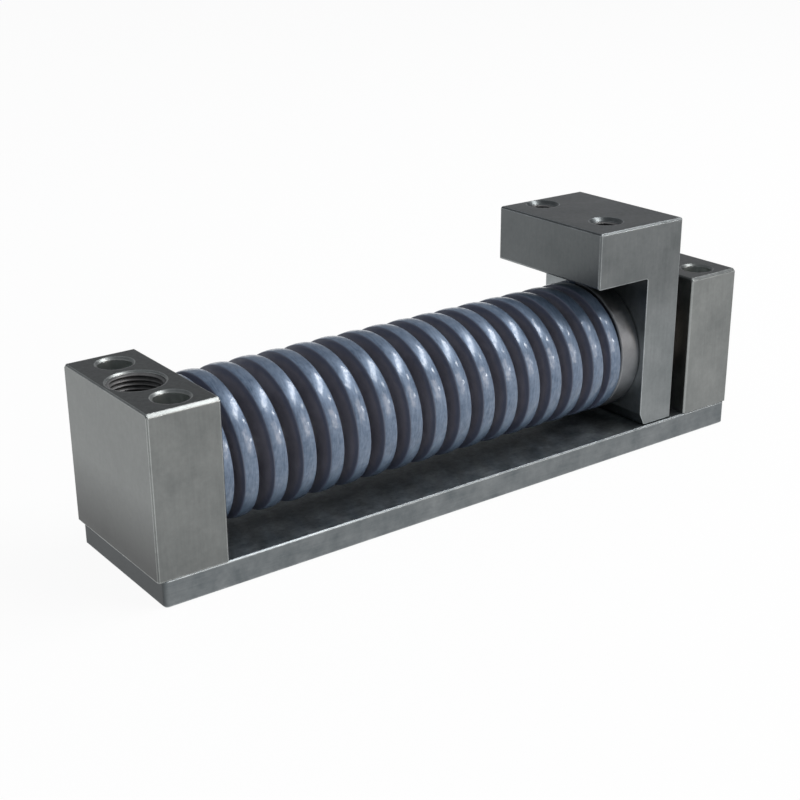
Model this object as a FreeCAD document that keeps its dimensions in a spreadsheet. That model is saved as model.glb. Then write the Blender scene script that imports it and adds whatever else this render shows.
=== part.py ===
import FreeCAD, Part
import math
import os

import Sketcher
from FreeCAD import Placement, Rotation, Vector

# Return spring unit. A coil spring on a guide rod pushes a hooked slider back against a stop block.
# X runs along the rod, from the anchor block to the stop block. Z is up. All sizes are in millimetres.
# The origin is the middle of the underside of the base plate.

# Driving dimensions

SIZES = {
    # Whole unit
    "overall_length": 250,
    "unit_width": 56,
    "axis_height": 36,
    "fit_gap": 0.02,
    # Base plate
    "base_thickness": 9,
    "base_anchor_inset": 1.7,
    "base_stop_inset": 0.6,
    "base_corner_radius": 1.5,
    "base_edge_chamfer": 0.4,
    # End blocks
    "anchor_thickness": 24.5,
    "stop_thickness": 23.75,
    "block_height": 54,
    "block_chamfer": 0.5,
    "block_top_chamfer": 1,
    "mount_hole_diameter": 11,
    "mount_hole_edge": 9.5,
    "anchor_hole_inset": 13,
    "stop_hole_inset": 11.5,
    "mount_rim_chamfer": 0.8,
    # Lock screw hole in the anchor block
    "lock_hole_diameter": 18,
    "lock_hole_inset": 11,
    "lock_rim_chamfer": 0.6,
    "lock_screw_length": 8,
    "lock_socket_width": 8,
    "lock_socket_depth": 5,
    "lock_pad_diameter": 12,
    "lock_pad_thickness": 2.5,
    "lock_hole_below_pad": 2,
    # Guide rod
    "rod_diameter": 25,
    "spigot_diameter": 18,
    "anchor_spigot_length": 20,
    "stop_spigot_length": 10,
    "spigot_end_gap": 0.3,
    "lock_flat_depth": 0.5,
    "lock_flat_length": 14,
    # Rod end screw
    "end_screw_diameter": 8,
    "end_screw_length": 25,
    "end_screw_head_diameter": 13,
    "end_screw_head_height": 8,
    "end_screw_socket_width": 6,
    "end_screw_socket_depth": 4,
    "end_screw_clearance": 0.5,
    "counterbore_clearance": 0.5,
    "counterbore_depth": 8.5,
    "rod_tapping_depth": 22,
    # Slider with its hook
    "slider_side_gap": 0.8,
    "hook_length": 41.3,
    "hook_thickness": 20.3,
    "slider_top": 87.3,
    "leg_thickness": 16.6,
    "foot_clearance": 0.5,
    "foot_cut_width": 2.2,
    "foot_cut_height": 4.5,
    "slider_chamfer": 0.6,
    "hook_corner_radius": 1,
    "rest_gap": 6.65,
    "hook_hole_diameter": 10,
    "hook_hole_spacing": 34,
    "hook_hole_offset": 3,
    "hook_hole_inset": 15.1,
    "hook_rim_chamfer": 1.3,
    # Guide bush and its retaining ring
    "bush_outer_diameter": 32,
    "bush_running_gap": 0.04,
    "bush_recess": 0.5,
    "ring_thickness": 1.2,
    "ring_side_gap": 0.1,
    "ring_inset": 1.5,
    "ring_groove_depth": 0.85,
    "ring_width": 2,
    "ring_mouth": 3.2,
    "ring_lug_radius": 1.5,
    "ring_lug_offset": 3.3,
    "ring_lug_hole_radius": 0.7,
    # Spring seat
    "seat_thickness": 8.8,
    "seat_chamfer": 0.4,
    # Coil spring
    "spring_outer_diameter": 50,
    "spring_inner_diameter": 26,
    "wire_thickness": 5.3,
    "spring_turns": 17.35,
    "closed_turns": 0.2,
    "closing_turns": 1.4,
    "closed_pitch": 5,
    "pitch_fall": 0.03,
    "start_angle": 140,
    "ground_tip_thickness": 1.4,
    "spring_end_gap": 0.1,
    # Return bumper
    "bumper_diameter": 36,
    "bumper_bore_gap": 0.1,
    "bumper_rest_gap": 0.2,
    # Screws and dowel pins that join the blocks to the base plate
    "block_screw_diameter": 5,
    "block_screw_length": 16,
    "block_screw_head_diameter": 10,
    "block_screw_spacing": 12,
    "block_screw_offset": 6.5,
    "block_screw_recess": 0.3,
    "block_screw_socket_width": 3,
    "block_screw_socket_depth": 2,
    "block_screw_clearance": 0.5,
    "block_tapping_depth": 12,
    "dowel_diameter": 5,
    "dowel_length": 16,
    "dowel_recess": 1.5,
    "dowel_offset": 6,
    "dowel_spacing": 16,
    "dowel_hole_spare": 1,
}

doc = FreeCAD.newDocument("ReturnSpringUnit")
sheet = doc.addObject("Spreadsheet::Sheet", "Sizes")
for row, (name, size) in enumerate(SIZES.items(), start=1):
    sheet.set(f"A{row}", name)
    sheet.set(f"B{row}", str(size))
    sheet.setAlias(f"B{row}", name)
doc.recompute()

# Places along the rod and above the underside, as formulas of the driving dimensions

ANCHOR_FACE = "(Sizes.anchor_thickness - Sizes.overall_length / 2)"
STOP_FACE = "(Sizes.overall_length / 2 - Sizes.stop_thickness)"
SLIDER_BACK = f"({STOP_FACE} - Sizes.rest_gap)"
LEG_FRONT = f"({SLIDER_BACK} - Sizes.leg_thickness)"
SEAT_FRONT = f"({LEG_FRONT} - Sizes.seat_thickness)"
SPRING_LENGTH = f"({SEAT_FRONT} - {ANCHOR_FACE} - Sizes.spring_end_gap)"
ROD_SPAN = f"({STOP_FACE} - {ANCHOR_FACE})"
BLOCK_FOOT = "(Sizes.base_thickness - Sizes.axis_height)"
BLOCK_TOP = f"({BLOCK_FOOT} + Sizes.block_height)"
LOCK_FLAT = "(Sizes.spigot_diameter / 2 - Sizes.lock_flat_depth)"
HALF_WIDTH = "(Sizes.unit_width / 2)"
MOUNT_SPACING = "(Sizes.unit_width - 2 * Sizes.mount_hole_edge)"
SLIDER_WIDTH = "(Sizes.unit_width - 2 * Sizes.slider_side_gap)"
ON_AXIS = 1e-9


def size_of(formula):
    return float(sheet.evalExpression(formula))


# Sketch and feature helpers

def new_body(label):
    body = doc.addObject("PartDesign::Body", label)
    body.Label = label
    return body


def place(item, x=None, y=None, z=None):
    """Ties an item's position to formulas."""
    for axis, formula in (("x", x), ("y", y), ("z", z)):
        if formula is not None:
            item.setExpression(f"Placement.Base.{axis}", formula)


def new_sketch(body, name, plane, offset=None):
    """A sketch on one of the body's own planes, or parallel to it at an offset."""
    sketch = body.newObject("Sketcher::SketchObject", name)
    support = next(item for item in body.Origin.OriginFeatures if item.Role == plane)
    sketch.AttachmentSupport = (support, [""])
    sketch.MapMode = "FlatFace"
    if offset is not None:
        sketch.setExpression("AttachmentOffset.Base.z", offset)
    return sketch


def tie_point(sketch, geometry, point, x, y):
    """Fixes a sketch point at the formulas x and y, or on an axis where a formula is zero."""
    for kind, axis, formula in (("DistanceX", -2, x), ("DistanceY", -1, y)):
        distance = size_of(formula)
        if abs(distance) < ON_AXIS:
            sketch.addConstraint(Sketcher.Constraint("PointOnObject", geometry, point, axis))
        else:
            row = sketch.addConstraint(Sketcher.Constraint(kind, -1, 1, geometry, point, distance))
            sketch.setExpression(f"Constraints[{row}]", formula)


def outline(body, name, plane, corners, offset=None):
    """A closed outline of straight lines. Each corner is a pair of formulas."""
    sketch = new_sketch(body, name, plane, offset)
    points = [Vector(size_of(x), size_of(y), 0) for x, y in corners]
    for index, start in enumerate(points):
        sketch.addGeometry(Part.LineSegment(start, points[(index + 1) % len(points)]), False)
    for index in range(len(points)):
        sketch.addConstraint(Sketcher.Constraint("Coincident", index, 2, (index + 1) % len(points), 1))
    for index, (x, y) in enumerate(corners):
        tie_point(sketch, index, 1, x, y)
    return sketch


def circles(body, name, plane, centres, diameter, offset=None):
    """Equal circles at centres given as pairs of formulas."""
    sketch = new_sketch(body, name, plane, offset)
    for x, y in centres:
        centre = Vector(size_of(x), size_of(y), 0)
        circle = sketch.addGeometry(Part.Circle(centre, Vector(0, 0, 1), size_of(diameter) / 2), False)
        tie_point(sketch, circle, 3, x, y)
        row = sketch.addConstraint(Sketcher.Constraint("Diameter", circle, size_of(diameter)))
        sketch.setExpression(f"Constraints[{row}]", diameter)
    return sketch


def finish_feature(body, feature):
    body.Tip = feature
    doc.recompute()
    return feature


def pad(body, name, sketch, length, symmetric=False):
    feature = body.newObject("PartDesign::Pad", name)
    feature.Profile = sketch
    feature.setExpression("Length", length)
    if symmetric:
        feature.SideType = "Symmetric"
    return finish_feature(body, feature)


def pocket(body, name, sketch, depth=None, forward=False):
    """Cuts against the sketch's normal, or along it if forward, through all if no depth is given."""
    before = body.Shape.Volume
    feature = body.newObject("PartDesign::Pocket", name)
    feature.Profile = sketch
    feature.Reversed = forward
    if depth is None:
        feature.Type = "ThroughAll"
    else:
        feature.setExpression("Length", depth)
    finish_feature(body, feature)
    if body.Shape.Volume >= before:
        raise RuntimeError(f"{name} cuts nothing")
    return feature


def turned(body, name, sketch, axis="H_Axis"):
    feature = body.newObject("PartDesign::Revolution", name)
    feature.Profile = sketch
    feature.ReferenceAxis = (sketch, [axis])
    feature.Angle = 360
    return finish_feature(body, feature)


def edges_where(feature, test):
    return [f"Edge{index}" for index, edge in enumerate(feature.Shape.Edges, start=1) if test(edge)]


def chamfer(body, name, feature, test, size):
    item = body.newObject("PartDesign::Chamfer", name)
    item.Base = (feature, edges_where(feature, test))
    item.setExpression("Size", size)
    return finish_feature(body, item)


def fillet(body, name, feature, test, radius):
    item = body.newObject("PartDesign::Fillet", name)
    item.Base = (feature, edges_where(feature, test))
    item.setExpression("Radius", radius)
    return finish_feature(body, item)


def is_line(edge):
    return isinstance(edge.Curve, Part.Line)


def is_upright(edge):
    return is_line(edge) and abs(edge.tangentAt(edge.FirstParameter).z) > 1 - ON_AXIS


def is_rim(edge, height):
    """True for a full circle that lies flat at this height."""
    return isinstance(edge.Curve, Part.Circle) and edge.isClosed() and lies_at(edge, "Z", height)


def lies_at(edge, axis, place_on_axis):
    box = edge.BoundBox
    low, high = getattr(box, axis + "Min"), getattr(box, axis + "Max")
    return abs(low - place_on_axis) < 1e-4 and abs(high - place_on_axis) < 1e-4


def hexagon(width):
    """Corners of a hexagon, given its width across flats as a formula."""
    side, tip = f"{width} / 2", f"{width} / sqrt(3)"
    half = f"{width} / (2 * sqrt(3))"
    return [
        (side, half),
        ("0", tip),
        (f"-{side}", half),
        (f"-{side}", f"-{half}"),
        ("0", f"-{tip}"),
        (side, f"-{half}"),
    ]


def mirrored_pair(x, spacing):
    return [(x, f"{spacing} / 2"), (x, f"-{spacing} / 2")]


def pattern_in_x_and_y(body, name, features, length_x, length_y):
    """Repeats the features at the four corners of a rectangle that starts at the first one."""
    axes = {item.Role: item for item in body.Origin.OriginFeatures}
    feature = body.newObject("PartDesign::LinearPattern", name)
    feature.Originals = features
    feature.Direction = (axes["X_Axis"], [""])
    feature.Direction2 = (axes["Y_Axis"], [""])
    feature.Occurrences = 2
    feature.Occurrences2 = 2
    feature.setExpression("Length", length_x)
    feature.setExpression("Length2", length_y)
    return finish_feature(body, feature)


# Where the base plate's holes, screws and dowel pins stand

ANCHOR_MOUNT_X = "(Sizes.anchor_hole_inset - Sizes.overall_length / 2)"
STOP_MOUNT_X = "(Sizes.overall_length / 2 - Sizes.stop_hole_inset)"
ANCHOR_MIDDLE = "(Sizes.anchor_thickness / 2 - Sizes.overall_length / 2)"
STOP_MIDDLE = "(Sizes.overall_length / 2 - Sizes.stop_thickness / 2)"
ANCHOR_SCREW_X = f"({ANCHOR_MIDDLE} + Sizes.block_screw_offset)"
STOP_SCREW_X = f"({STOP_MIDDLE} - Sizes.block_screw_offset)"
ANCHOR_DOWEL_X = f"({ANCHOR_MIDDLE} - Sizes.dowel_offset)"
STOP_DOWEL_X = f"({STOP_MIDDLE} + Sizes.dowel_offset)"
DOWEL_HOLE = "Sizes.dowel_diameter + 2 * Sizes.fit_gap"


# Base plate: a ground flat bar with rounded corners, countersunk from below for the block screws

def base_plate():
    body = new_body("base_plate")
    start = "(Sizes.base_anchor_inset - Sizes.overall_length / 2)"
    end = "(Sizes.overall_length / 2 - Sizes.base_stop_inset)"
    corners = [(start, f"-{HALF_WIDTH}"), (end, f"-{HALF_WIDTH}"), (end, HALF_WIDTH), (start, HALF_WIDTH)]
    plate = pad(body, "PlateBar", outline(body, "PlateOutline", "XY_Plane", corners), "Sizes.base_thickness")
    plate = fillet(body, "PlateCorners", plate, is_upright, "Sizes.base_corner_radius")
    plate = chamfer(body, "PlateEdges", plate, lambda edge: not is_upright(edge), "Sizes.base_edge_chamfer")
    mounts = mirrored_pair(ANCHOR_MOUNT_X, MOUNT_SPACING)
    mounts += mirrored_pair(STOP_MOUNT_X, MOUNT_SPACING)
    mount_sketch = circles(body, "PlateMountCircles", "XY_Plane", mounts, "Sizes.mount_hole_diameter")
    pocket(body, "PlateMountHoles", mount_sketch, forward=True)
    dowels = mirrored_pair(ANCHOR_DOWEL_X, "Sizes.dowel_spacing")
    dowels += mirrored_pair(STOP_DOWEL_X, "Sizes.dowel_spacing")
    dowel_sketch = circles(body, "PlateDowelCircles", "XY_Plane", dowels, DOWEL_HOLE)
    pocket(body, "PlateDowelHoles", dowel_sketch, forward=True)
    screws = mirrored_pair(ANCHOR_SCREW_X, "Sizes.block_screw_spacing")
    screws += mirrored_pair(STOP_SCREW_X, "Sizes.block_screw_spacing")
    clearance = "Sizes.block_screw_diameter + Sizes.block_screw_clearance"
    screw_sketch = circles(body, "PlateScrewCircles", "XY_Plane", screws, clearance)
    plate = pocket(body, "PlateScrewHoles", screw_sketch, forward=True)
    radius = size_of(clearance) / 2
    sink = "(Sizes.block_screw_head_diameter - Sizes.block_screw_diameter) / 2"
    chamfer(
        body,
        "PlateCountersinks",
        plate,
        lambda edge: is_rim(edge, 0) and abs(edge.Curve.Radius - radius) < 1e-4,
        sink,
    )
    return body


# End blocks: ground steel blocks, square to the base plate, bored for the rod and drilled for the mounting bolts

def end_block(label, side, thickness, hole_inset):
    """The shared form of both blocks. Its X starts at the face that looks at the spring, and side says which way."""
    body = new_body(label)
    far = f"({side} * {thickness})"
    middle = f"({side} * {thickness} / 2)"
    corners = [("0", f"-{HALF_WIDTH}"), (far, f"-{HALF_WIDTH}"), (far, HALF_WIDTH), ("0", HALF_WIDTH)]
    block = pad(body, "Block", outline(body, "BlockOutline", "XY_Plane", corners, BLOCK_FOOT), "Sizes.block_height")
    foot, top = size_of(BLOCK_FOOT), size_of(BLOCK_TOP)
    block = chamfer(
        body,
        "BlockTopEdges",
        block,
        lambda edge: lies_at(edge, "Z", top) and edge.BoundBox.YLength < ON_AXIS,
        "Sizes.block_top_chamfer",
    )
    block = chamfer(body, "BlockEdges", block, lambda edge: is_end_edge(edge, foot), "Sizes.block_chamfer")
    mount_x = f"({far} - {side} * {hole_inset})"
    mounts = mirrored_pair(mount_x, MOUNT_SPACING)
    mount_sketch = circles(body, "BlockMountCircles", "XY_Plane", mounts, "Sizes.mount_hole_diameter", BLOCK_FOOT)
    pocket(body, "BlockMountHoles", mount_sketch, forward=True)
    chamfer(body, "BlockMountRims", body.Tip, lambda edge: is_rim(edge, top), "Sizes.mount_rim_chamfer")
    screws = mirrored_pair(f"({middle} - {side} * Sizes.block_screw_offset)", "Sizes.block_screw_spacing")
    screw_sketch = circles(body, "BlockScrewCircles", "XY_Plane", screws, "Sizes.block_screw_diameter", BLOCK_FOOT)
    pocket(body, "BlockScrewHoles", screw_sketch, "Sizes.block_tapping_depth", forward=True)
    dowels = mirrored_pair(f"({middle} + {side} * Sizes.dowel_offset)", "Sizes.dowel_spacing")
    dowel_sketch = circles(body, "BlockDowelCircles", "XY_Plane", dowels, DOWEL_HOLE, BLOCK_FOOT)
    dowel_depth = "Sizes.dowel_length + Sizes.dowel_recess + Sizes.dowel_hole_spare - Sizes.base_thickness"
    pocket(body, "BlockDowelHoles", dowel_sketch, dowel_depth, forward=True)
    return body


def is_end_edge(edge, foot):
    """True for the edges that frame a block's two end faces, but for the one at its foot."""
    return edge.BoundBox.XLength < ON_AXIS and not lies_at(edge, "Z", foot)


SPIGOT_BORE = "Sizes.spigot_diameter + 2 * Sizes.fit_gap"
LOCK_X = "(Sizes.lock_hole_inset - Sizes.anchor_thickness)"
LOCK_TO_MOUNT = f"sqrt((Sizes.lock_hole_inset - Sizes.anchor_hole_inset) ^ 2 + ({MOUNT_SPACING} / 2) ^ 2)"
LOCK_WALL = f"({LOCK_TO_MOUNT} - (Sizes.lock_hole_diameter + Sizes.mount_hole_diameter) / 2)"
LOCK_RIM = f"min(Sizes.lock_rim_chamfer; ({LOCK_WALL} - Sizes.mount_rim_chamfer) / 2)"


def anchor_block():
    body = end_block("anchor_block", -1, "Sizes.anchor_thickness", "Sizes.anchor_hole_inset")
    bore = circles(body, "SpigotCircle", "YZ_Plane", [("0", "0")], SPIGOT_BORE)
    pocket(body, "SpigotBore", bore, "Sizes.anchor_spigot_length + Sizes.spigot_end_gap")
    lock = circles(body, "LockCircle", "XY_Plane", [(LOCK_X, "0")], "Sizes.lock_hole_diameter", BLOCK_TOP)
    pocket(body, "LockHole", lock, f"{BLOCK_TOP} - {LOCK_FLAT} + Sizes.lock_hole_below_pad")
    top = size_of(BLOCK_TOP)
    radius = size_of("Sizes.lock_hole_diameter") / 2
    chamfer(
        body,
        "LockRim",
        body.Tip,
        lambda edge: is_rim(edge, top) and abs(edge.Curve.Radius - radius) < 1e-4,
        LOCK_RIM,
    )
    place(body, x=ANCHOR_FACE, z="Sizes.axis_height")
    return body


def stop_block():
    body = end_block("stop_block", 1, "Sizes.stop_thickness", "Sizes.stop_hole_inset")
    bore = circles(body, "SpigotCircle", "YZ_Plane", [("0", "0")], SPIGOT_BORE)
    pocket(body, "SpigotBore", bore, "Sizes.stop_spigot_length + Sizes.spigot_end_gap", forward=True)
    clearance = "Sizes.end_screw_diameter + 2 * Sizes.end_screw_clearance"
    hole = circles(body, "EndScrewCircle", "YZ_Plane", [("0", "0")], clearance)
    pocket(body, "EndScrewHole", hole, forward=True)
    cut = "Sizes.end_screw_head_diameter + 2 * Sizes.counterbore_clearance"
    counterbore = circles(body, "CounterboreCircle", "YZ_Plane", [("0", "0")], cut, "Sizes.stop_thickness")
    pocket(body, "Counterbore", counterbore, "Sizes.counterbore_depth")
    place(body, x=STOP_FACE, z="Sizes.axis_height")
    return body


# Guide rod: a hardened ground bar, turned down to a spigot at each end. A flat takes the lock screw's pad.

def guide_rod():
    body = new_body("guide_rod")
    radius, spigot = "Sizes.rod_diameter / 2", "Sizes.spigot_diameter / 2"
    start = "Sizes.anchor_spigot_length"
    end = f"({ROD_SPAN} + Sizes.stop_spigot_length)"
    tap = "Sizes.end_screw_diameter / 2"
    profile = [
        (f"-{start}", "0"),
        (f"-{start}", spigot),
        ("0", spigot),
        ("0", radius),
        (ROD_SPAN, radius),
        (ROD_SPAN, spigot),
        (end, spigot),
        (end, tap),
        (f"{end} - Sizes.rod_tapping_depth", tap),
        (f"{end} - Sizes.rod_tapping_depth - {tap}", "0"),
    ]
    turned(body, "Rod", outline(body, "RodProfile", "XY_Plane", profile))
    half = "Sizes.lock_flat_length / 2"
    reach = "Sizes.spigot_diameter"
    flat = [
        (f"{LOCK_X} - {half}", f"-{reach}"),
        (f"{LOCK_X} + {half}", f"-{reach}"),
        (f"{LOCK_X} + {half}", reach),
        (f"{LOCK_X} - {half}", reach),
    ]
    sketch = outline(body, "FlatOutline", "XY_Plane", flat, LOCK_FLAT)
    pocket(body, "LockFlat", sketch, "Sizes.lock_flat_depth * 2", forward=True)
    place(body, x=ANCHOR_FACE, z="Sizes.axis_height")
    return body


# Rod lock: a socket set screw in the anchor block bears on the rod's flat through a soft pad

def rod_lock_pad():
    body = new_body("rod_lock_pad")
    disc = circles(body, "PadCircle", "XY_Plane", [("0", "0")], "Sizes.lock_pad_diameter")
    pad(body, "Disc", disc, "Sizes.lock_pad_thickness")
    place(body, x=f"{ANCHOR_FACE} + {LOCK_X}", z=f"Sizes.axis_height + {LOCK_FLAT}")
    return body


def rod_lock_screw():
    body = new_body("rod_lock_screw")
    length = "Sizes.lock_screw_length"
    disc = circles(body, "ScrewCircle", "XY_Plane", [("0", "0")], "Sizes.lock_hole_diameter - 2 * Sizes.fit_gap")
    pad(body, "Screw", disc, length)
    socket = outline(body, "SocketOutline", "XY_Plane", hexagon("Sizes.lock_socket_width"), length)
    pocket(body, "Socket", socket, "Sizes.lock_socket_depth")
    place(
        body,
        x=f"{ANCHOR_FACE} + {LOCK_X}",
        z=f"Sizes.axis_height + {LOCK_FLAT} + Sizes.lock_pad_thickness",
    )
    return body


# Rod end screw: a socket head screw in the stop block's counterbore pulls the rod's shoulder to the block

def rod_end_screw():
    body = new_body("rod_end_screw")
    head, height = "Sizes.end_screw_head_diameter / 2", "Sizes.end_screw_head_height"
    shank, length = "(Sizes.end_screw_diameter / 2 - Sizes.fit_gap)", "Sizes.end_screw_length"
    profile = [(f"-{length}", "0"), (f"-{length}", shank), ("0", shank), ("0", head), (height, head), (height, "0")]
    turned(body, "Screw", outline(body, "ScrewProfile", "XY_Plane", profile))
    socket = outline(body, "SocketOutline", "YZ_Plane", hexagon("Sizes.end_screw_socket_width"), height)
    pocket(body, "Socket", socket, "Sizes.end_screw_socket_depth")
    place(body, x="Sizes.overall_length / 2 - Sizes.counterbore_depth", z="Sizes.axis_height")
    return body


# Slider: one machined piece, a leg that stands over the base plate and a hook that reaches back over the spring.
# The leg's foot is cut away at the front.

RING_GROOVE = "(Sizes.ring_thickness + Sizes.ring_side_gap)"
BUSH_BORE = "Sizes.bush_outer_diameter + 2 * Sizes.fit_gap"
SLIDER_TOP = "(Sizes.slider_top - Sizes.axis_height)"
SLIDER_FOOT = f"({BLOCK_FOOT} + Sizes.foot_clearance)"


def slider():
    body = new_body("slider")
    tip, leg = "(-Sizes.hook_length)", "(-Sizes.leg_thickness)"
    underside = f"({SLIDER_TOP} - Sizes.hook_thickness)"
    corners = [
        (tip, underside),
        (tip, SLIDER_TOP),
        ("0", SLIDER_TOP),
        ("0", SLIDER_FOOT),
        (f"{leg} + Sizes.foot_cut_width", SLIDER_FOOT),
        (leg, f"{SLIDER_FOOT} + Sizes.foot_cut_height"),
        (leg, underside),
    ]
    sketch = outline(body, "HookOutline", "XZ_Plane", corners)
    hook = pad(body, "Hook", sketch, SLIDER_WIDTH, symmetric=True)
    leg_x, under_z = size_of(leg), size_of(underside)
    hook = fillet(
        body,
        "InnerCorner",
        hook,
        lambda edge: lies_at(edge, "X", leg_x) and lies_at(edge, "Z", under_z),
        "Sizes.hook_corner_radius",
    )
    hook = chamfer(
        body,
        "HookEdges",
        hook,
        lambda edge: is_line(edge) and edge.BoundBox.ZMax > under_z - 1e-4 and not is_inner(edge, leg_x, under_z),
        "Sizes.slider_chamfer",
    )
    bore = circles(body, "BushCircle", "YZ_Plane", [("0", "0")], BUSH_BORE)
    pocket(body, "BushBore", bore)
    groove = circles(
        body,
        "RingGrooveCircle",
        "YZ_Plane",
        [("0", "0")],
        "Sizes.bush_outer_diameter + 2 * Sizes.ring_groove_depth",
        "-Sizes.ring_inset",
    )
    pocket(body, "RingGroove", groove, RING_GROOVE)
    hole_x, half = f"({tip} + Sizes.hook_hole_inset)", "Sizes.hook_hole_spacing / 2"
    holes = [(hole_x, f"Sizes.hook_hole_offset + {half}"), (hole_x, f"Sizes.hook_hole_offset - {half}")]
    hole_sketch = circles(body, "HookHoleCircles", "XY_Plane", holes, "Sizes.hook_hole_diameter", SLIDER_TOP)
    pocket(body, "HookHoles", hole_sketch, "Sizes.hook_thickness")
    top = size_of(SLIDER_TOP)
    chamfer(body, "HookRims", body.Tip, lambda edge: is_rim(edge, top), "Sizes.hook_rim_chamfer")
    place(body, x=SLIDER_BACK, z="Sizes.axis_height")
    return body


def is_inner(edge, leg_x, under_z):
    """True for an edge on the leg's front face or on the hook's underside next to it."""
    return lies_at(edge, "X", leg_x) or (lies_at(edge, "Z", under_z) and edge.BoundBox.XMax > leg_x - 2)


# Guide bush: a plain bronze sleeve that runs on the rod, held in the slider by a retaining ring

def guide_bush():
    body = new_body("guide_bush")
    outer = "Sizes.bush_outer_diameter / 2"
    inner = "(Sizes.rod_diameter / 2 + Sizes.bush_running_gap)"
    front = "(Sizes.bush_recess - Sizes.leg_thickness - Sizes.seat_thickness)"
    back = f"(-Sizes.ring_inset - {RING_GROOVE})"
    profile = [(front, inner), (front, outer), (back, outer), (back, inner)]
    turned(body, "Bush", outline(body, "BushProfile", "XY_Plane", profile))
    place(body, x=SLIDER_BACK, z="Sizes.axis_height")
    return body


def bush_ring():
    body = new_body("bush_ring")
    outer = "(Sizes.bush_outer_diameter + 2 * Sizes.ring_groove_depth - 4 * Sizes.ring_side_gap)"
    inner = f"({outer} - 2 * Sizes.ring_width)"
    lug_y = f"(-sqrt(({outer} / 2 - Sizes.ring_lug_radius) ^ 2 - Sizes.ring_lug_offset ^ 2))"
    start = f"(-Sizes.ring_inset - {RING_GROOVE})"
    pad(body, "Ring", circles(body, "RingCircle", "YZ_Plane", [("0", "0")], outer, start), "Sizes.ring_thickness")
    eye = circles(body, "RingEye", "YZ_Plane", [("0", "0")], inner, start)
    pocket(body, "RingInside", eye, "Sizes.ring_thickness", forward=True)
    lugs = [("Sizes.ring_lug_offset", lug_y), ("-Sizes.ring_lug_offset", lug_y)]
    lug_sketch = circles(body, "LugCircles", "YZ_Plane", lugs, "2 * Sizes.ring_lug_radius", start)
    pad(body, "Lugs", lug_sketch, "Sizes.ring_thickness")
    hole_sketch = circles(body, "LugHoleCircles", "YZ_Plane", lugs, "2 * Sizes.ring_lug_hole_radius", start)
    pocket(body, "LugHoles", hole_sketch, "Sizes.ring_thickness", forward=True)
    mouth = "Sizes.ring_mouth / 2"
    opening = [
        (f"-{mouth}", f"-{outer}"),
        (mouth, f"-{outer}"),
        (mouth, f"-{inner} / 4"),
        (f"-{mouth}", f"-{inner} / 4"),
    ]
    pocket(body, "Mouth", outline(body, "MouthOutline", "YZ_Plane", opening, start), "Sizes.ring_thickness", True)
    place(body, x=SLIDER_BACK, z="Sizes.axis_height")
    return body


# Spring seat: a plain turned steel collar between the slider's leg and the spring, as wide as the spring

def spring_seat():
    body = new_body("spring_seat")
    outer, edge = "Sizes.spring_outer_diameter / 2", "Sizes.seat_chamfer"
    inner, front = f"({BUSH_BORE}) / 2", "(-Sizes.seat_thickness)"
    profile = [
        (front, inner),
        (front, f"{outer} - {edge}"),
        (f"{front} + {edge}", outer),
        (f"-{edge}", outer),
        ("0", f"{outer} - {edge}"),
        ("0", inner),
    ]
    turned(body, "Seat", outline(body, "SeatProfile", "XY_Plane", profile))
    place(body, x=LEG_FRONT, z="Sizes.axis_height")
    return body


# Return bumper: a urethane ring on the rod that takes the slider's knock at rest

def return_bumper():
    body = new_body("return_bumper")
    outer, inner = "Sizes.bumper_diameter / 2", "(Sizes.rod_diameter / 2 + Sizes.bumper_bore_gap)"
    length = "(Sizes.rest_gap - Sizes.bumper_rest_gap)"
    profile = [(f"-{length}", inner), (f"-{length}", outer), ("0", outer), ("0", inner)]
    turned(body, "Ring", outline(body, "BumperProfile", "XY_Plane", profile))
    place(body, x=STOP_FACE, z="Sizes.axis_height")
    return body


# Coil spring: rectangular wire, wound right-handed. The end turns close up and are ground flat to their seats.

QUARTERS_PER_TURN = 4
POINTS_PER_QUARTER = 3


def rise_from_middle(turns, pitch):
    """How far along the rod the wire's middle is, at this many turns from the middle of the spring.

    The pitch falls a little from the anchor to the slider, and it closes up over the last turns at both ends.
    """
    closed, closing = size_of("Sizes.closed_turns"), size_of("Sizes.closing_turns")
    even = size_of("Sizes.spring_turns") / 2 - closed - closing
    closed_pitch = size_of("Sizes.closed_pitch")
    away = abs(turns)
    ramp = min(max(away - even, 0), closing)
    rise = pitch * min(away, even)
    rise += pitch * ramp - (pitch - closed_pitch) * ramp**2 / (2 * closing)
    rise += closed_pitch * max(away - even - closing, 0)
    bulge = size_of("Sizes.pitch_fall") * (size_of("Sizes.spring_turns") ** 2 / 4 - turns**2) / 2
    return math.copysign(rise, turns) + bulge


def even_pitch(length):
    """The pitch of the open turns that leaves the ground tips their thickness."""
    closed, closing = size_of("Sizes.closed_turns"), size_of("Sizes.closing_turns")
    even = size_of("Sizes.spring_turns") / 2 - closed - closing
    tip = length / 2 + size_of("Sizes.wire_thickness / 2 - Sizes.ground_tip_thickness")
    return (tip - size_of("Sizes.closed_pitch") * (closing / 2 + closed)) / (even + closing / 2)


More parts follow.
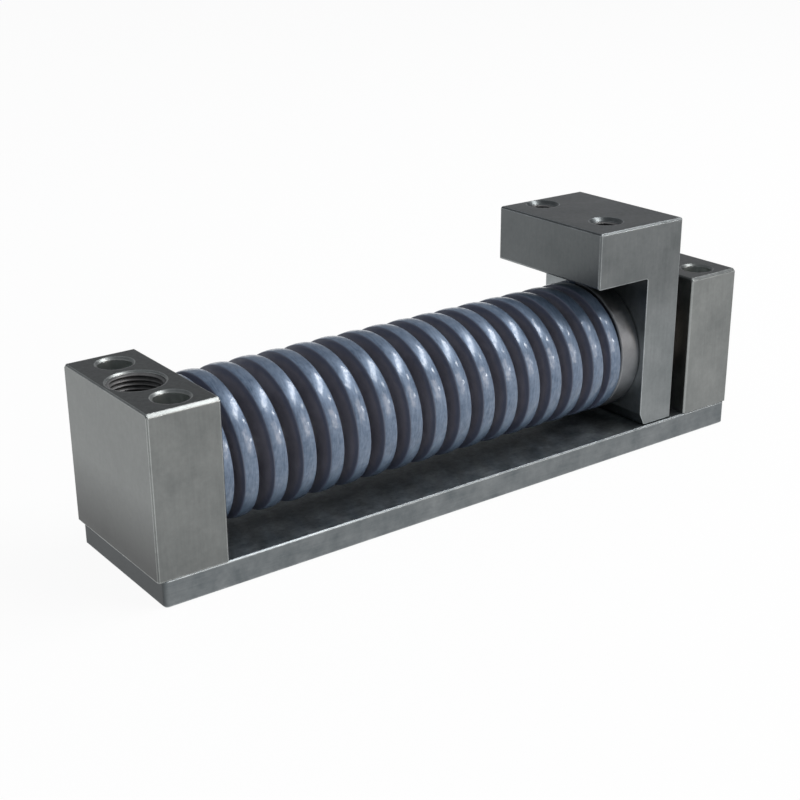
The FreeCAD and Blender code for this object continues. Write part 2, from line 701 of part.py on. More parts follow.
def wire_shape(length):
    """The wound wire before grinding: four helical faces, laid quarter turn by quarter turn."""
    pitch = even_pitch(length)
    total = size_of("Sizes.spring_turns")
    outer, inner = size_of("Sizes.spring_outer_diameter / 2"), size_of("Sizes.spring_inner_diameter / 2")
    half, start = size_of("Sizes.wire_thickness / 2"), math.radians(size_of("Sizes.start_angle"))
    section = [(outer, -half), (outer, half), (inner, half), (inner, -half)]

    def point(turns, radius, across):
        angle = start + 2 * math.pi * (turns + total / 2)
        x = length / 2 + rise_from_middle(turns, pitch) + across
        return Vector(x, -radius * math.cos(angle), -radius * math.sin(angle))

    count = round(total * QUARTERS_PER_TURN)
    steps = [total * (index / count - 0.5) for index in range(count + 1)]
    fine = count * POINTS_PER_QUARTER
    knots = [total * (index / fine - 0.5) for index in range(fine + 1)]
    rails = []
    for radius, across in section:
        curve = Part.BSplineCurve()
        curve.interpolate(Points=[point(turns, radius, across) for turns in knots], Parameters=knots)
        rails.append([curve.toShape(start, end) for start, end in zip(steps, steps[1:])])
    ends = [[point(turns, radius, across) for radius, across in section] for turns in steps]
    faces = []
    for index in range(count):
        faces.append(Part.makeRuledSurface(rails[0][index], rails[1][index]))
        faces.append(Part.makeRuledSurface(rails[2][index], rails[3][index]))
        for one, other in ((1, 2), (3, 0)):
            border = [
                rails[one][index],
                Part.makeLine(ends[index + 1][one], ends[index + 1][other]),
                rails[other][index],
                Part.makeLine(ends[index][other], ends[index][one]),
            ]
            faces.append(Part.makeFilledFace(Part.Wire(Part.sortEdges(border)[0]).Edges))
    for corner_points in (ends[0], ends[-1]):
        faces.append(Part.Face(Part.makePolygon(corner_points + corner_points[:1])))
    wire = Part.Solid(Part.makeShell(faces))
    if wire.Volume < 0:
        wire.reverse()
    return wire


def coil_spring():
    wire = doc.addObject("Part::Feature", "SpringWire")
    wire.Shape = wire_shape(size_of(SPRING_LENGTH))
    ground = doc.addObject("Part::Cylinder", "GroundLength")
    ground.setExpression("Radius", "Sizes.spring_outer_diameter")
    ground.setExpression("Height", SPRING_LENGTH)
    ground.Placement = Placement(Vector(0, 0, 0), Rotation(Vector(0, 1, 0), 90))
    spring = doc.addObject("Part::Common", "coil_spring")
    spring.Label = "coil_spring"
    spring.Base = wire
    spring.Tool = ground
    place(spring, x=ANCHOR_FACE, z="Sizes.axis_height")
    doc.recompute()
    return spring


# Block screws: countersunk socket screws, driven from below through the base plate

def block_screws():
    body = new_body("block_screws")
    head, shank = "Sizes.block_screw_head_diameter / 2", "(Sizes.block_screw_diameter / 2 - Sizes.fit_gap)"
    low = "Sizes.block_screw_recess"
    high = f"({low} + Sizes.block_screw_length)"
    profile = [
        ("0", low),
        (f"{head} - {low}", low),
        (shank, f"{head} - {shank}"),
        (shank, high),
        ("0", high),
    ]
    screw = turned(body, "Screw", outline(body, "ScrewProfile", "XZ_Plane", profile), "V_Axis")
    socket = outline(body, "SocketOutline", "XY_Plane", hexagon("Sizes.block_screw_socket_width"), low)
    recess = pocket(body, "Socket", socket, "Sizes.block_screw_socket_depth", forward=True)
    span = f"{STOP_SCREW_X} - {ANCHOR_SCREW_X}"
    pattern_in_x_and_y(body, "Screws", [screw, recess], span, "Sizes.block_screw_spacing")
    place(body, x=ANCHOR_SCREW_X, y="-Sizes.block_screw_spacing / 2")
    return body


def dowel_pins():
    body = new_body("dowel_pins")
    radius, low = "Sizes.dowel_diameter / 2", "Sizes.dowel_recess"
    high = f"({low} + Sizes.dowel_length)"
    profile = [("0", low), (radius, low), (radius, high), ("0", high)]
    pin = turned(body, "Pin", outline(body, "PinProfile", "XZ_Plane", profile), "V_Axis")
    pattern_in_x_and_y(body, "Pins", [pin], f"{STOP_DOWEL_X} - {ANCHOR_DOWEL_X}", "Sizes.dowel_spacing")
    place(body, x=ANCHOR_DOWEL_X, y="-Sizes.dowel_spacing / 2")
    return body


PIECES = [
    base_plate(),
    anchor_block(),
    stop_block(),
    guide_rod(),
    rod_lock_pad(),
    rod_lock_screw(),
    rod_end_screw(),
    slider(),
    guide_bush(),
    bush_ring(),
    spring_seat(),
    return_bumper(),
    coil_spring(),
    block_screws(),
    dowel_pins(),
]
doc.recompute()

faults = [item.Name for item in doc.Objects if "Invalid" in item.State or "Error" in item.State]
faults += [piece.Label for piece in PIECES if piece.Shape.isNull() or not piece.Shape.isValid()]
if faults:
    raise RuntimeError(f"these did not build: {faults}")

os.makedirs("parts", exist_ok=True)
for piece in PIECES:
    piece.Shape.exportStep(f"parts/{piece.Label}.step")
    print(piece.Label, len(piece.Shape.Solids), "solids", round(piece.Shape.Volume, 1), "mm3")
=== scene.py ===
import math

import bpy
from mathutils import Matrix, Vector


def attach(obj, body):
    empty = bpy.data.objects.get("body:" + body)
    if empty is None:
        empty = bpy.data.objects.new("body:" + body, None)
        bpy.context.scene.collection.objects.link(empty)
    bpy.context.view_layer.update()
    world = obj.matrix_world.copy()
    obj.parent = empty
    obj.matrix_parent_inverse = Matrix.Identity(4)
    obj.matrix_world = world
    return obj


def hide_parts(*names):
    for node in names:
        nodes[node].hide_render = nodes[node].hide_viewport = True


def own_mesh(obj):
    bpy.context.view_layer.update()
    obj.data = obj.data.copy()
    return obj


# Return spring unit: a heavy coil spring on a guide rod pushes a hooked slider back against its stop block.
# Metres, in the CAD frame: X runs from the anchor block to the stop block, Z is up.

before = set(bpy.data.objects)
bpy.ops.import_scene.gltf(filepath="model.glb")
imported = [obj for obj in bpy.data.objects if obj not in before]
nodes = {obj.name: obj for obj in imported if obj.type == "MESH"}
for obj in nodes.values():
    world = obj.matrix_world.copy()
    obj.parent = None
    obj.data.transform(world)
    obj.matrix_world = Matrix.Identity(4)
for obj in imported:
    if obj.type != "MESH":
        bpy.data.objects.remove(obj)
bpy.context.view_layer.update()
scene = bpy.context.scene
scene.view_settings.view_transform = "Standard"


# Camera

# It stands where the photograph's does: to the left of the unit's near side, looking slightly down.
# Its place, roll and lens were worked out from the corners and outlines of the two blocks.

camera_azimuth = math.radians(-36.586)
camera_elevation = math.radians(21.124)
camera_roll = math.radians(-0.3194)
camera_target = Vector((-0.014062, 0.000005, 0.033056))
camera_distance = 0.49738

away = Vector((
    math.cos(camera_elevation) * math.sin(camera_azimuth),
    -math.cos(camera_elevation) * math.cos(camera_azimuth),
    math.sin(camera_elevation),
))
camera_data = bpy.data.cameras.new("camera")
camera_data.sensor_width = 36
camera_data.lens = 63.98
camera_data.shift_x = -0.000725
camera_data.shift_y = 0.00046
camera_data.clip_start = 0.01
camera = bpy.data.objects.new("camera", camera_data)
scene.collection.objects.link(camera)
standpoint = Matrix.Translation(camera_target + away * camera_distance)
facing = away.to_track_quat("Z", "Y").to_matrix().to_4x4()
camera.matrix_world = standpoint @ facing @ Matrix.Rotation(camera_roll, 4, "Z")
scene.camera = camera


# Light

# A plain room: grey sky, one long softbox above the right end, two small lamps and one weak warm card.
# Each lamp stands at the same distance from the unit's middle and is placed by the direction that it shines from.

unit_middle = Vector((0, 0, 0.04))
lamp_distance = 1.6


def new_lamp(name, direction, size, power, colour=(1, 1, 1)):
    data = bpy.data.lights.new(name, "AREA")
    data.shape = "RECTANGLE"
    data.size, data.size_y = size
    data.energy = power
    data.color = colour
    lamp = bpy.data.objects.new(name, data)
    scene.collection.objects.link(lamp)
    towards = Vector(direction).normalized()
    lamp.location = unit_middle + towards * lamp_distance
    lamp.rotation_euler = towards.to_track_quat("Z", "Y").to_euler()


new_lamp("softbox", (0.5, -0.3, 0.81), (1.3, 0.34), 17)
new_lamp("small_lamp_high", (0.65, -0.51, 0.56), (0.12, 0.12), 1.5)
new_lamp("small_lamp_low", (0.65, -0.73, 0.21), (0.12, 0.12), 1.2)
new_lamp("warm_card", (0.475, -0.845, 0.22), (0.5, 0.85), 5.2, (1, 0.89, 0.81))

world = bpy.data.worlds.new("room")
scene.world = world
world.use_nodes = True
world.node_tree.nodes["Background"].inputs["Color"].default_value = (0.33, 0.34, 0.355, 1)


# Floor

# A large smooth sheet of matt white card that curves up into a low rim far away. The camera and reflections see it
# as plain white, with a faint shadow of the unit that stands on it.

floor_radius, rim_height = 8, 1.2
floor_gap = 0.0002
floor_shadow = 0.06
rim_steps, floor_sides = 10, 96


def new_object(name, verts, faces):
    """An object in the scene, with a mesh of the same name."""
    mesh = bpy.data.meshes.new(name)
    mesh.from_pydata(verts, [], faces)
    item = bpy.data.objects.new(name, mesh)
    scene.collection.objects.link(item)
    return item


def band(low, high, count):
    """Faces between two closed rings of points. Low and high are the numbers of the rings' first points."""
    faces = []
    for side in range(count):
        after = (side + 1) % count
        faces.append((low + side, low + after, high + after, high + side))
    return faces


def new_material(name):
    """A material, its node tree and its shader."""
    material = bpy.data.materials.new(name)
    material.use_nodes = True
    return material, material.node_tree, material.node_tree.nodes["Principled BSDF"]


def feed(tree, value, socket):
    """Gives a socket its value: a link from another socket, a plain number or vector, or a colour without alpha."""
    if isinstance(value, bpy.types.NodeSocket):
        tree.links.new(value, socket)
    elif socket.type == "RGBA":
        socket.default_value = (*value, 1)
    else:
        socket.default_value = value


def math_node(tree, operation, *operands):
    item = tree.nodes.new("ShaderNodeMath")
    item.operation = operation
    for operand, socket in zip(operands, item.inputs):
        feed(tree, operand, socket)
    return item.outputs[0]


rings = []
for step in range(rim_steps + 1):
    bend = math.radians(90 * step / rim_steps)
    rings.append((floor_radius - rim_height * (1 - math.sin(bend)), rim_height * (1 - math.cos(bend))))
angles = [2 * math.pi * side / floor_sides for side in range(floor_sides)]
verts = [(radius * math.cos(angle), radius * math.sin(angle), height) for radius, height in rings for angle in angles]
faces = [tuple(range(floor_sides))]
for step in range(rim_steps):
    faces += band(step * floor_sides, (step + 1) * floor_sides, floor_sides)
floor = new_object("floor", verts, faces)
floor.location.z = -floor_gap

floor_white, tree, shader = new_material("floor_white")
feed(tree, (0.95, 0.95, 0.95), shader.inputs["Base Color"])
feed(tree, 0.9, shader.inputs["Roughness"])
glow = tree.nodes.new("ShaderNodeEmission")
feed(tree, 1, glow.inputs["Strength"])
rays = tree.nodes.new("ShaderNodeLightPath").outputs
seen = math_node(tree, "MAXIMUM", rays["Is Camera Ray"], rays["Is Glossy Ray"])
seen = math_node(tree, "MAXIMUM", seen, rays["Is Transmission Ray"])
mixed = tree.nodes.new("ShaderNodeMixShader")
feed(tree, math_node(tree, "MULTIPLY", seen, 1 - floor_shadow), mixed.inputs[0])
feed(tree, shader.outputs[0], mixed.inputs[1])
feed(tree, glow.outputs[0], mixed.inputs[2])
feed(tree, mixed.outputs[0], tree.nodes["Material Output"].inputs["Surface"])
floor.data.materials.append(floor_white)


# Ground steel

# The base plate, both end blocks, the slider and the spring seat are bare tool steel, milled and ground on all sides.
# Screws and dowel pins from below hold the blocks on the plate, and the slider and its seat run on the guide rod.
# Fine grinding marks follow the faces, oil leaves faint patches, and handling has brightened the edges.

edge_radius = 0.0006
mark_depth, mark_strength = 0.00001, 0.35
marks_share = 0.45
mottle_scale = 620
mottle_on_walls, mottle_on_tops = 0.25, 1.1
wear_gain, wear_lift = 2.1, 0.05
wear_least, wear_most = 0.45, 1.2
marks_roughness, patch_roughness = 0.1, 0.12
painted_bore_light = 2.6
highlight_change_start, highlight_change_end = -0.07, -0.035


def new_group(name, inputs, outputs):
    """A shader node group with named sockets. It comes with the sockets inside that its effect starts and ends at."""
    kinds = {"value": "NodeSocketFloat", "vector": "NodeSocketVector"}
    group = bpy.data.node_groups.new(name, "ShaderNodeTree")
    for label, kind in inputs.items():
        group.interface.new_socket(label, in_out="INPUT", socket_type=kinds[kind])
    for label, kind in outputs.items():
        group.interface.new_socket(label, in_out="OUTPUT", socket_type=kinds[kind])
    return group, group.nodes.new("NodeGroupInput").outputs, group.nodes.new("NodeGroupOutput").inputs


def use_group(tree, group, **values):
    """The outputs of a group. Each value's name is its socket's, with the spaces as underscores."""
    item = tree.nodes.new("ShaderNodeGroup")
    item.node_tree = group
    for label, value in values.items():
        feed(tree, value, item.inputs[label.replace("_", " ")])
    return item.outputs


def object_place(tree, output="Object"):
    return tree.nodes.new("ShaderNodeTexCoord").outputs[output]


def split(tree, vector):
    item = tree.nodes.new("ShaderNodeSeparateXYZ")
    feed(tree, vector, item.inputs[0])
    return item.outputs


def join(tree, x, y):
    item = tree.nodes.new("ShaderNodeCombineXYZ")
    feed(tree, x, item.inputs["X"])
    feed(tree, y, item.inputs["Y"])
    return item.outputs[0]


def vector_node(tree, operation, *operands, output="Vector"):
    item = tree.nodes.new("ShaderNodeVectorMath")
    item.operation = operation
    for operand, socket in zip(operands, item.inputs):
        feed(tree, operand, socket)
    return item.outputs[output]


def noise_node(tree, vector, scale, detail=3, roughness=0.5):
    item = tree.nodes.new("ShaderNodeTexNoise")
    for label, value in (("Vector", vector), ("Scale", scale), ("Detail", detail), ("Roughness", roughness)):
        feed(tree, value, item.inputs[label])
    return item.outputs[0]


def remap(tree, value, low, high, to_low=0, to_high=1):
    """Moves from to_low to to_high while the value goes from low to high, and stays there beyond them."""
    item = tree.nodes.new("ShaderNodeMapRange")
    labels = ("Value", "From Min", "From Max", "To Min", "To Max")
    for label, given in zip(labels, (value, low, high, to_low, to_high)):
        feed(tree, given, item.inputs[label])
    return item.outputs[0]


def mix(tree, share, first, second, kind="Float"):
    """Moves from first to second while share goes from 0 to 1. Kind is Float for values and Color for colours."""
    item = tree.nodes.new("ShaderNodeMix")
    item.data_type = {"Float": "FLOAT", "Color": "RGBA"}[kind]
    sockets = {socket.identifier: socket for socket in (*item.inputs, *item.outputs)}
    for label, value in (("Factor_Float", share), ("A_" + kind, first), ("B_" + kind, second)):
        feed(tree, value, sockets[label])
    return sockets["Result_" + kind]


def mix_colours(tree, share, first, second):
    return mix(tree, share, first, second, "Color")


def add_relief(tree, shader, height, strength, depth, normal=None):
    """A bump on the shader, over a normal where one is given."""
    item = tree.nodes.new("ShaderNodeBump")
    for label, value in (("Strength", strength), ("Distance", depth), ("Height", height)):
        feed(tree, value, item.inputs[label])
    if normal:
        feed(tree, normal, item.inputs["Normal"])
    feed(tree, item.outputs[0], shader.inputs["Normal"])


# Grinding marks: fine streaks along one axis. Stretch holds the streaks' frequency along X, Y and Z.
marks_group, enter, leave = new_group("grinding_marks", {"Stretch": "vector"}, {"Marks": "value"})
stretched = vector_node(marks_group, "MULTIPLY", object_place(marks_group), enter["Stretch"])
feed(marks_group, noise_node(marks_group, stretched, 1, 4, 0.6), leave["Marks"])

# Oil patches: soft blotches a few millimetres wide, with smaller ones inside them.
patch_group, enter, leave = new_group("oil_patches", {"Scale": "value"}, {"Patches": "value"})
blotches = noise_node(patch_group, object_place(patch_group), enter["Scale"], 5, 0.62)
feed(patch_group, remap(patch_group, blotches, 0.3, 0.7), leave["Patches"])

# Worn edges: where a rounded normal leaves the true one, an edge is near.
wear_group, enter, leave = new_group("worn_edges", {}, {"Wear": "value", "Normal": "vector"})
rounded = wear_group.nodes.new("ShaderNodeBevel")
rounded.samples = 6
feed(wear_group, edge_radius, rounded.inputs["Radius"])
true_normal = wear_group.nodes.new("ShaderNodeNewGeometry").outputs["Normal"]
likeness = vector_node(wear_group, "DOT_PRODUCT", rounded.outputs[0], true_normal, output="Value")
feed(wear_group, remap(wear_group, likeness, 0.995, 0.91), leave["Wear"])
feed(wear_group, rounded.outputs[0], leave["Normal"])

# Face shading: painted light and shade. Each face direction gets a tone that stands in for how light falls on the
# ends, sides and top. The tones of the sides and of the end towards the anchor change from Foot to Head between the
# heights
# Low and High, a painted change of light up the walls.
face_shading_labels = ("Low", "High", "End Foot", "End Head", "Other End", "Side Foot", "Side Head", "Top")
face_shading_group, enter, leave = new_group(
    "painted_face_shading", dict.fromkeys(face_shading_labels, "value"), {"Painted Tone": "value", "Upward": "value"}
)
height = split(face_shading_group, object_place(face_shading_group))["Z"]
normal = split(face_shading_group, object_place(face_shading_group, "Normal"))
end, side = [
    remap(face_shading_group, height, enter["Low"], enter["High"], enter[face + " Foot"], enter[face + " Head"])
    for face in ("End", "Side")
]
other_end = math_node(face_shading_group, "GREATER_THAN", normal["X"], 0)
end = mix(face_shading_group, other_end, end, enter["Other End"])
walls = mix(face_shading_group, math_node(face_shading_group, "POWER", normal["X"], 2), side, end)
upward = math_node(face_shading_group, "POWER", math_node(face_shading_group, "MAXIMUM", normal["Z"], 0), 2)
feed(face_shading_group, mix(face_shading_group, upward, walls, enter["Top"]), leave["Painted Tone"])
feed(face_shading_group, upward, leave["Upward"])

# Drilled bores: the walls of two upright holes, at Along on X and Across either side of the middle line, up to Face.
bore_group, enter, leave = new_group(
    "drilled_bores", dict.fromkeys(("Along", "Across", "Radius", "Face"), "value"), {"Inside": "value"}
)
point = split(bore_group, object_place(bore_group))
along = math_node(bore_group, "SUBTRACT", point["X"], enter["Along"])
across = math_node(bore_group, "SUBTRACT", math_node(bore_group, "ABSOLUTE", point["Y"]), enter["Across"])
reach = vector_node(bore_group, "LENGTH", join(bore_group, along, across), output="Value")
near_axis = math_node(bore_group, "LESS_THAN", reach, enter["Radius"])
below_face = math_node(bore_group, "LESS_THAN", point["Z"], enter["Face"])
feed(bore_group, math_node(bore_group, "MULTIPLY", near_axis, below_face), leave["Inside"])


def painted_face_tones(low, high, end, other_end, side, top):
    """The painted light and shade values for each face direction. End and side are each given as a pair, at the foot
    and at the head.
    """
    return {
        "Low": low, "High": high, "End_Foot": end[0], "End_Head": end[1], "Other_End": other_end,
        "Side_Foot": side[0], "Side_Head": side[1], "Top": top,
    }


def steel(name, dark, light, stretch, roughness, worn=0.5, patch_scale=60,
          tones=painted_face_tones(0, 1, (1, 1), 1, (1, 1), 1), bareness=1, bores=None, painted_chamfer_highlights=None):
    """Bare ground steel. Dark and light are the colours that the marks and patches move between.
    Bareness under 1 leaves a share of dull film on the metal. Bores names the holes whose walls get painted light.
    Tones are painted light and shade for each face direction. Chamfer tones are painted highlights on the sloping
    edges round a top, towards the anchor block and towards the stop block."""
    material, tree, shader = new_material(name)
    feed(tree, bareness, shader.inputs["Metallic"])
    place = object_place(tree)
    marks = use_group(tree, marks_group, Stretch=stretch)["Marks"]
    patches = use_group(tree, patch_group, Scale=patch_scale)["Patches"]
    edges = use_group(tree, wear_group)
    faces = use_group(tree, face_shading_group, **tones)

    shade = math_node(tree, "MULTIPLY_ADD", marks, marks_share, math_node(tree, "MULTIPLY", patches, 1 - marks_share))
    colour = mix_colours(tree, remap(tree, shade, 0.2, 0.8), dark, light)
    mottle = math_node(tree, "SUBTRACT", noise_node(tree, place, mottle_scale, 3, 0.65), 0.5)
    mottle_strength = remap(tree, faces["Upward"], 0, 1, mottle_on_walls, mottle_on_tops)
    tone = math_node(tree, "MULTIPLY_ADD", mottle, mottle_strength, 1)
    tone = math_node(tree, "MULTIPLY", faces["Painted Tone"], tone)
    if painted_chamfer_highlights:
        # Painted highlight: the chamfers get brighter or darker by a factor that changes along X. Four times the
        # slope is 1 on a chamfer at 45 degrees and 0 on walls and tops.
        near_anchor, near_stop = painted_chamfer_highlights
        change = remap(tree, split(tree, place)["X"], highlight_change_start, highlight_change_end,
                       near_anchor - 1, near_stop - 1)
        slope = math_node(tree, "MULTIPLY", faces["Upward"], math_node(tree, "SUBTRACT", 1, faces["Upward"]))
        change = math_node(tree, "MULTIPLY", change, math_node(tree, "MULTIPLY", slope, 4))
        tone = math_node(tree, "MULTIPLY", tone, math_node(tree, "ADD", change, 1))
    # Painted light: the bore walls are lifted to a bright tone that stands in for light reaching into the holes.
    if bores:
        tone = mix(tree, use_group(tree, bore_group, **bores)["Inside"], tone, painted_bore_light)
    toned = tree.nodes.new("ShaderNodeVectorMath")
    toned.operation = "SCALE"
    feed(tree, colour, toned.inputs[0])
    feed(tree, tone, toned.inputs["Scale"])

    rubbed = tuple(min(1, channel * wear_gain + wear_lift) for channel in light)
    wear = remap(tree, patches, 0.2, 0.8, wear_least * worn, wear_most * worn)
    wear = math_node(tree, "MULTIPLY", edges["Wear"], wear)
    feed(tree, mix_colours(tree, wear, toned.outputs[0], rubbed), shader.inputs["Base Color"])

    smoothest = roughness - (marks_roughness + patch_roughness) / 2
    rough = math_node(tree, "MULTIPLY_ADD", marks, marks_roughness, smoothest)
    feed(tree, math_node(tree, "MULTIPLY_ADD", patches, patch_roughness, rough), shader.inputs["Roughness"])
    add_relief(tree, shader, marks, mark_strength, mark_depth, edges["Normal"])
    return material


def dress(node, material):
    item = nodes[node]
    item.data.materials.clear()
    item.data.materials.append(material)


block_dark, block_light = (0.17, 0.18, 0.178), (0.24, 0.252, 0.248)
plate_marks, block_marks, turned_marks = (60, 1500, 1500), (1200, 1200, 90), (3500, 200, 200)
bolt_holes = {"Across": 0.0185, "Radius": 0.0057, "Face": 0.0619}

# Painted light and shade in these tones: the tops are painted darker, the ends lighter or darker, and the walls
# change from foot to head. The chamfer tones are painted highlights, on the plate brighter towards the anchor block.
dress("base_plate", steel(
    "plate_steel", (0.13, 0.147, 0.156), (0.23, 0.248, 0.256), plate_marks, 0.46, worn=0.9, patch_scale=110,
    tones=painted_face_tones(low=0, high=0.009, end=(0.36, 0.4), other_end=0.8, side=(0.93, 0.93), top=1.48),
    painted_chamfer_highlights=(1.4, 0.62),
))
dress("anchor_block", steel(
    "anchor_steel", block_dark, block_light, block_marks, 0.36, worn=1,
    tones=painted_face_tones(low=0.012, high=0.035, end=(0.32, 0.97), other_end=0.9, side=(0.8, 0.89), top=0.45),
    bores={"Along": -0.112, **bolt_holes}, painted_chamfer_highlights=(1.5, 1.5),
))
dress("stop_block", steel(
    "stop_steel", block_dark, block_light, block_marks, 0.36, worn=0.4,
    tones=painted_face_tones(low=0.012, high=0.05, end=(2.1, 1.9), other_end=1, side=(0.98, 0.98), top=0.38),
    bores={"Along": 0.1135, **bolt_holes},
))
dress("slider", steel(
    "slider_steel", (0.165, 0.18, 0.184), (0.235, 0.252, 0.258), block_marks, 0.36, worn=0.8,
    tones=painted_face_tones(low=0.045, high=0.064, end=(2, 0.6), other_end=0.9, side=(0.98, 0.66), top=0.43),
))
dress("spring_seat", steel("seat_steel", (0.132, 0.138, 0.146), (0.2, 0.209, 0.22), turned_marks, 0.45))


# Guide rod and dowel pins

# Hardened and polished steel, brighter and smoother than the blocks, with a film of oil on it.
# The rod's ends sit in the two blocks, and the pins are pressed into the base plate and the blocks.

rod_steel = steel("rod_steel", (0.3, 0.3, 0.3), (0.42, 0.42, 0.43), (3000, 150, 150), 0.2, worn=0.2)
dress("guide_rod", rod_steel)
dress("dowel_pins", rod_steel)


# Screws and retaining ring

# Bought screws and a sprung ring of black-oxide steel, slightly oily, rubbed to grey metal on the edges.
# The screws hold the rod and the blocks, and the ring keeps the bush in the slider.

black_steel = steel("black_steel", (0.02, 0.02, 0.022), (0.045, 0.045, 0.048), (500, 500, 500), 0.4, worn=0.7)
for node in ("rod_lock_screw", "rod_end_screw", "block_screws", "bush_ring"):
    dress(node, black_steel)


# Guide bush and lock pad

# Turned bronze, with fine rings from the lathe.
# The bush sits in the slider's bore and runs on the rod, and the pad lies loose under the lock screw.

bronze = steel("bronze", (0.36, 0.22, 0.09), (0.5, 0.33, 0.15), (4000, 120, 120), 0.32, worn=0.3)
dress("guide_bush", bronze)
dress("rod_lock_pad", bronze)


# Return bumper

# A ring of cast urethane, dark brown and slightly waxy, with faint dust on it.
# It is slid onto the rod in front of the stop block, where the slider comes to rest on it.

urethane, tree, shader = new_material("urethane")
patches = use_group(tree, patch_group, Scale=150)["Patches"]
feed(tree, mix_colours(tree, patches, (0.1, 0.08, 0.065), (0.15, 0.125, 0.1)), shader.inputs["Base Color"])
feed(tree, remap(tree, patches, 0, 1, 0.42, 0.6), shader.inputs["Roughness"])
dress("return_bumper", urethane)


# Coil spring

# Rectangular spring wire, wound right-handed round the rod, with rounded corners and ends ground flat to their seats.
# It is sprayed with thin blue-grey paint, semi-glossy on the outside and less glossy on the flanks. The flanks carry
# a painted shade, and deeper in, grease whose colour is lightened as painted light in the gaps.

spring_start, spring_end = -0.1005, 0.0691
spring_axis_height = 0.036
wire_outer, wire_inner, wire_width = 0.025, 0.013, 0.0053
wire_corner, wire_crown = 0.0006, 0.0002
turns, closed_turns, closing_turns = 17.35, 0.2, 1.4
closed_pitch, pitch_fall, tip_thickness = 0.005, 0.00003, 0.0014
start_angle = math.radians(140)
steps_per_turn, steps_per_corner = 64, 4

even_turns = turns / 2 - closed_turns - closing_turns
tip_reach = (spring_end - spring_start) / 2 + wire_width / 2 - tip_thickness
pitch = (tip_reach - closed_pitch * (closing_turns / 2 + closed_turns)) / (even_turns + closing_turns / 2)


def wire_place(turn):
    """How far along the rod the wire's middle is, at this many turns from the middle of the spring."""
    gone = abs(turn)
    ramp = min(max(gone - even_turns, 0), closing_turns)
    rise = pitch * min(gone, even_turns)
    rise += pitch * ramp - (pitch - closed_pitch) * ramp**2 / (2 * closing_turns)
    rise += closed_pitch * max(gone - even_turns - closing_turns, 0)
    middle = (spring_start + spring_end) / 2
    return middle + math.copysign(rise, turn) + pitch_fall * (turns**2 / 4 - turn**2) / 2


def wire_section():
    """The wire's section as (radius, offset along the rod), from the crowned outer face round to it again."""
    flat = wire_width / 2 - wire_corner
    outer, inner = wire_outer - wire_crown - wire_corner, wire_inner + wire_corner
    points = [(wire_outer - wire_crown * step**2, flat * step) for step in (-0.6, -0.2, 0.2, 0.6)]
    for radius, offset, first in ((outer, flat, 0), (inner, flat, 90), (inner, -flat, 180), (outer, -flat, 270)):
        for step in range(steps_per_corner + 1):
            angle = math.radians(first + 90 * step / steps_per_corner)
            points.append((radius + wire_corner * math.cos(angle), offset + wire_corner * math.sin(angle)))
    return points


section = wire_section()
section_size = len(section)
last_ring = round(turns * steps_per_turn)
verts, faces = [], []
for ring in range(last_ring + 1):
    turn = turns * (ring / last_ring - 0.5)
    angle = start_angle + 2 * math.pi * (turn + turns / 2)
    for radius, offset in section:
        x = min(max(wire_place(turn) + offset, spring_start), spring_end)
        verts.append((x, -radius * math.cos(angle), spring_axis_height - radius * math.sin(angle)))
for ring in range(last_ring):
    faces += band(ring * section_size, (ring + 1) * section_size, section_size)
faces.append(tuple(reversed(range(section_size))))
faces.append(tuple(range(last_ring * section_size, (last_ring + 1) * section_size)))
spring = new_object("spring_wire", verts, faces)
spring.data.validate()
for face in spring.data.polygons:
    face.use_smooth = len(face.vertices) == 4

# Marks of the drawn wire: fine streaks that run along the wire as it winds round the rod.
streaks_per_radian = 6
wire_group, enter, leave = new_group("wire_marks", {"Fineness": "value"}, {"Marks": "value"})
point = split(wire_group, object_place(wire_group))
above_axis = math_node(wire_group, "SUBTRACT", point["Z"], spring_axis_height)
round_rod = math_node(wire_group, "ARCTAN2", point["Y"], above_axis)
across = math_node(wire_group, "MULTIPLY_ADD", round_rod, -pitch / (2 * math.pi), point["X"])
across = math_node(wire_group, "MULTIPLY", across, enter["Fineness"])
along = math_node(wire_group, "MULTIPLY", round_rod, streaks_per_radian)
feed(wire_group, noise_node(wire_group, join(wire_group, across, along), 1, 4, 0.65), leave["Marks"])

# The wire's flanks, which look along the rod. They carry a painted shade, and their deeper part takes grease, its
# colour lightened as painted light for the gaps between the coils.
lit_grease_edge, clean_edge = 0.0225, 0.0245
lit_grease_waves, lit_grease_wave_scale = 0.002, 250
flank_group, enter, leave = new_group("wire_flanks", {}, {"Flank": "value", "Lit Grease": "value"})
place = object_place(flank_group)
lean = math_node(flank_group, "ABSOLUTE", split(flank_group, object_place(flank_group, "Normal"))["X"])
feed(flank_group, remap(flank_group, lean, 0.3, 0.8), leave["Flank"])
from_axis = vector_node(flank_group, "MULTIPLY_ADD", place, (0, 1, 1), (0, 0, -spring_axis_height))
radius = vector_node(flank_group, "LENGTH", from_axis, output="Value")
waves = noise_node(flank_group, place, lit_grease_wave_scale)
wavy_radius = math_node(flank_group, "MULTIPLY_ADD", waves, lit_grease_waves, radius)
feed(flank_group, remap(flank_group, wavy_radius, clean_edge, lit_grease_edge), leave["Lit Grease"])

# The paint: its tone follows the wire's streaks, the sprayed flecks and faint patches, and its gloss the flecks.
# The flank colour is painted shade, and the grease colours are grease lightened as painted light for the gaps.
paint_dark, paint_light, painted_flank_shade = (0.056, 0.092, 0.15), (0.15, 0.207, 0.297), (0.11, 0.125, 0.18)
lit_grease_dark, lit_grease_light = (0.15, 0.148, 0.178), (0.235, 0.235, 0.28)
streak_share, fleck_share, patch_share = 0.45, 0.25, 0.3
streak_fineness, fleck_scale, fleck_height = 1500, 900, 0.8
paint_depth, paint_strength = 0.00006, 0.7
flank_gloss = 0.1

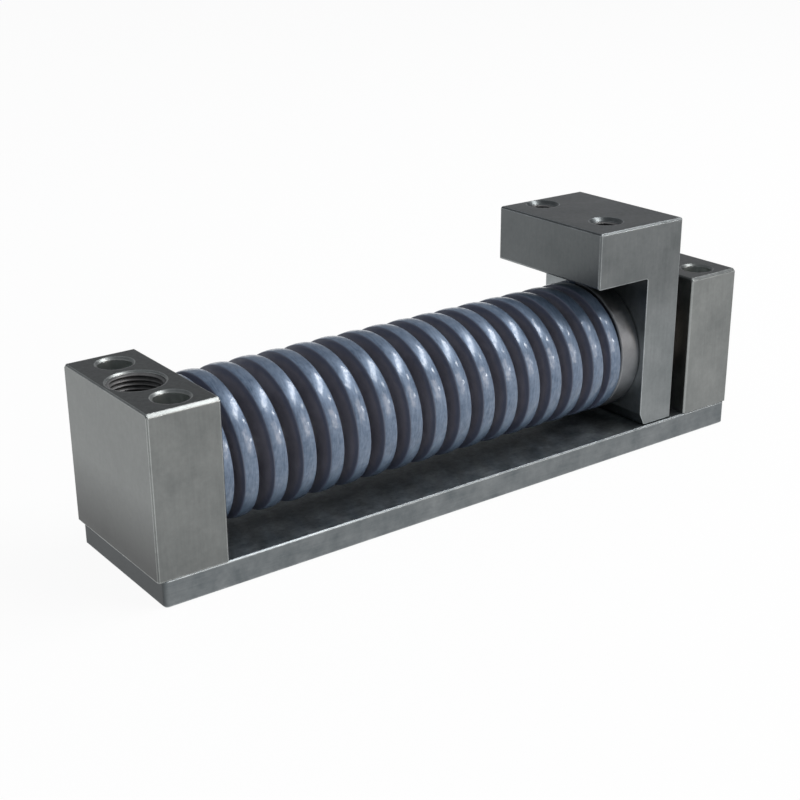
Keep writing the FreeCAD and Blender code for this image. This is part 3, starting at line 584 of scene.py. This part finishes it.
spring_paint, tree, shader = new_material("spring_paint")
patches = use_group(tree, patch_group, Scale=90)["Patches"]
streaks = use_group(tree, wire_group, Fineness=streak_fineness)["Marks"]
flecks = noise_node(tree, object_place(tree), fleck_scale, 3, 0.6)
sides = use_group(tree, flank_group)
lit_grease = math_node(tree, "MULTIPLY", sides["Flank"], sides["Lit Grease"])

tone = math_node(tree, "MULTIPLY", patches, patch_share)
tone = math_node(tree, "MULTIPLY_ADD", remap(tree, flecks, 0.35, 0.65), fleck_share, tone)
tone = math_node(tree, "MULTIPLY_ADD", remap(tree, streaks, 0.35, 0.65), streak_share, tone)
colour = mix_colours(tree, remap(tree, tone, 0.1, 0.9), paint_dark, paint_light)
# Painted shade on the flanks.
colour = mix_colours(tree, sides["Flank"], colour, painted_flank_shade)
# Grease deeper in the gaps, its colour lightened as painted light.
colour = mix_colours(tree, lit_grease, colour, mix_colours(tree, patches, lit_grease_dark, lit_grease_light))
feed(tree, colour, shader.inputs["Base Color"])
feed(tree, remap(tree, tone, 0.1, 0.9, 0.3, 0.5), shader.inputs["Roughness"])
feed(tree, remap(tree, sides["Flank"], 0, 1, 0.35, 0), shader.inputs["Metallic"])
gloss = remap(tree, flecks, 0.4, 0.6, 0.2, 1)
gloss = math_node(tree, "MULTIPLY", gloss, remap(tree, sides["Flank"], 0, 1, 1, flank_gloss))
feed(tree, gloss, shader.inputs["Coat Weight"])
feed(tree, 0.13, shader.inputs["Coat Roughness"])
height = math_node(tree, "ADD", streaks, math_node(tree, "MULTIPLY", flecks, fleck_height))
add_relief(tree, shader, height, paint_strength, paint_depth)
spring.data.materials.append(spring_paint)

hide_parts("coil_spring")
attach(spring, "frame")
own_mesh(spring)


# Threads

# The lock screw's hole in the anchor block is tapped M18 x 1.5, and the hook's two holes are tapped M10 x 1.5.
# Freshly cut steel, darker than the ground faces because cutting oil stays in the grooves.

thread_pitch, thread_depth = 0.0015, 0.0008
ridge_foot, ridge_crest = 0.44, 0.06
thread_steps = 48

cut_steel = steel(
    "cut_steel", (0.12, 0.12, 0.122), (0.19, 0.19, 0.19), (600, 600, 3000), 0.45, worn=0.2, bareness=0.55
)


def thread(name, centre, radius, bottom, top, body):
    """The ridge of a cut thread on the wall of an upright hole. Foot and crest are half widths, in pitches."""
    outline = ((radius, -ridge_foot), (radius - thread_depth, -ridge_crest),
               (radius - thread_depth, ridge_crest), (radius, ridge_foot))
    count = int((top - bottom) / thread_pitch * thread_steps)
    verts, faces = [], []
    for step in range(count + 1):
        angle = 2 * math.pi * step / thread_steps
        height = bottom + thread_pitch * step / thread_steps
        for reach, rise in outline:
            z = min(max(height + rise * thread_pitch, bottom), top)
            verts.append((centre[0] + reach * math.cos(angle), centre[1] + reach * math.sin(angle), z))
    for step in range(count):
        for side in range(3):
            low = step * 4 + side
            faces.append((low, low + 1, low + 5, low + 4))
    piece = new_object(name, verts, faces)
    piece.data.materials.append(cut_steel)
    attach(piece, body)


thread("lock_hole_thread", centre=(-0.114, 0), radius=0.00898, bottom=0.0554, top=0.0622, body="frame")
for name, y in (("hook_thread_near", -0.014), ("hook_thread_far", 0.020)):
    thread(name, centre=(0.0684, y), radius=0.00498, bottom=0.0672, top=0.0858, body="slider_unit")
